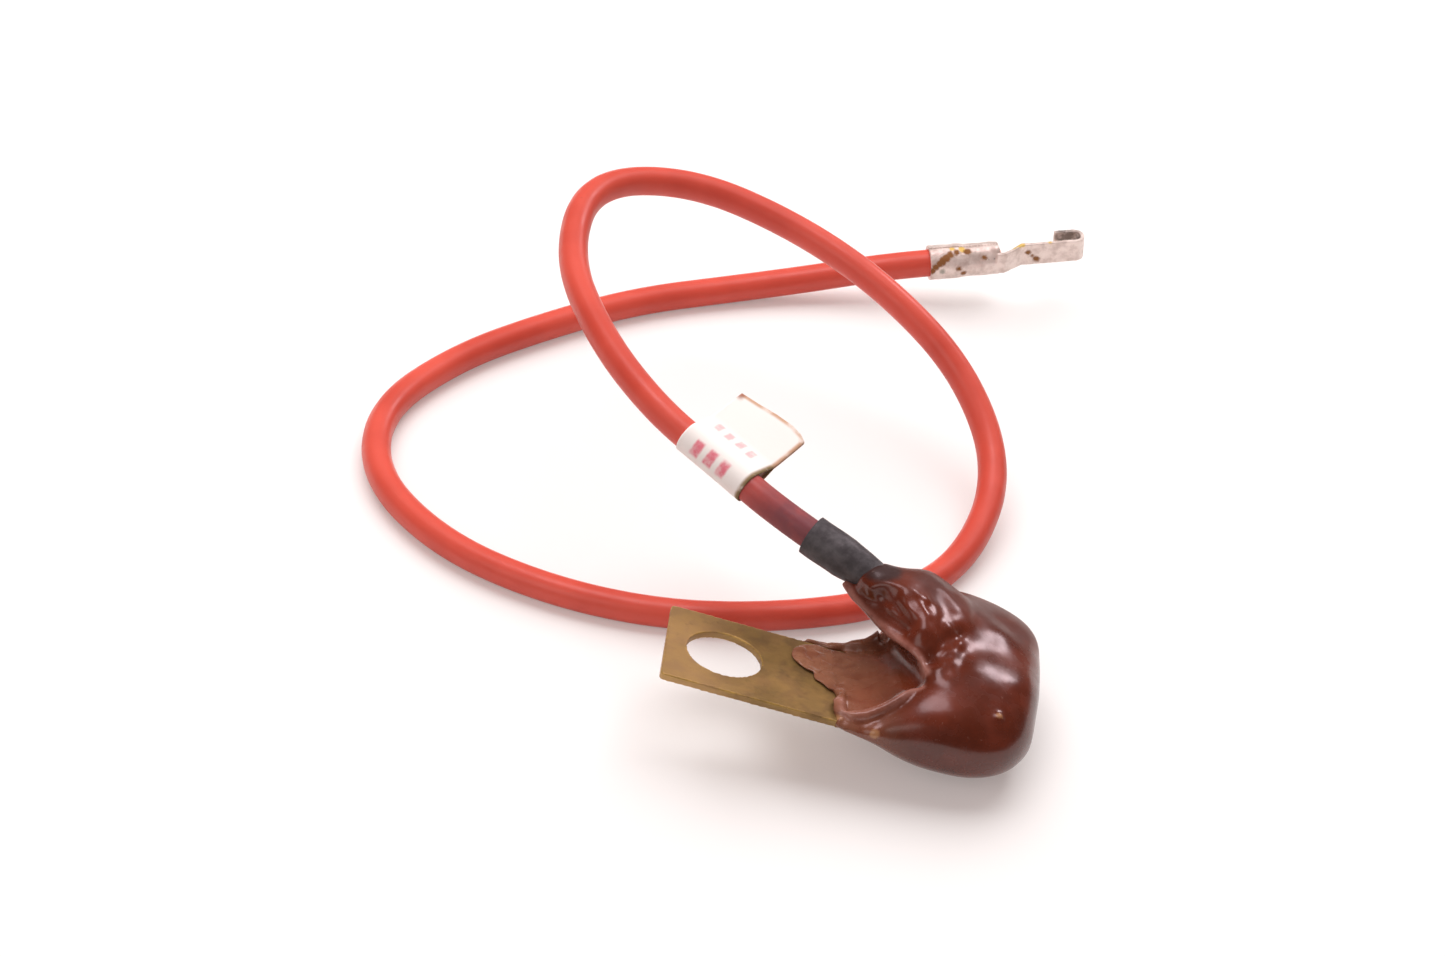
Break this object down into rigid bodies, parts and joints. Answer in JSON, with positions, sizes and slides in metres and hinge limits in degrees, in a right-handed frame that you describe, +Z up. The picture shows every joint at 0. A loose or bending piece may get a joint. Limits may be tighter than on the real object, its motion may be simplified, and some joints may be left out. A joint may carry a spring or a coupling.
{
  "type": "fused wire lead",
  "caption": "Short insulated wire lead with a lacquer-dipped fuse body on a screw-down brass lug at one end and a crimped hook terminal at the other.",
  "frame": {"origin": "on the table under the middle of the fuse body, its lug and the shrink sleeve", "axes": "+X from the lug's free end towards the fuse body, +Y across the lug towards the wire's loops, +Z up from the table"},
  "size_m": [0.0686, 0.0829, 0.0221],
  "materials": {
    "red_insulation": "satin, worn",
    "copper_core": "bare stranded copper",
    "tinned_brass": "tin plated, with flux stains",
    "solder": "dull solder",
    "white_paper": "matt, soiled at the edges",
    "black_shrink": "semi-matt",
    "brown_lacquer": "glossy dipped lacquer",
    "tarnished_brass": "tarnished",
    "fuse_alloy": "drawn wire"
  },
  "bodies": {
    "root": {"wire_jacket": "red_insulation", "wire_conductor": "copper_core", "crimp_terminal": "tinned_brass", "terminal_solder": "solder", "rating_flag": "white_paper", "heat_shrink_sleeve": "black_shrink", "dipped_coating": "brown_lacquer", "mounting_lug": "tarnished_brass", "fuse_link": "fuse_alloy", "conductor_joint": "solder", "lug_joint": "solder"}
  },
  "joints": []
}
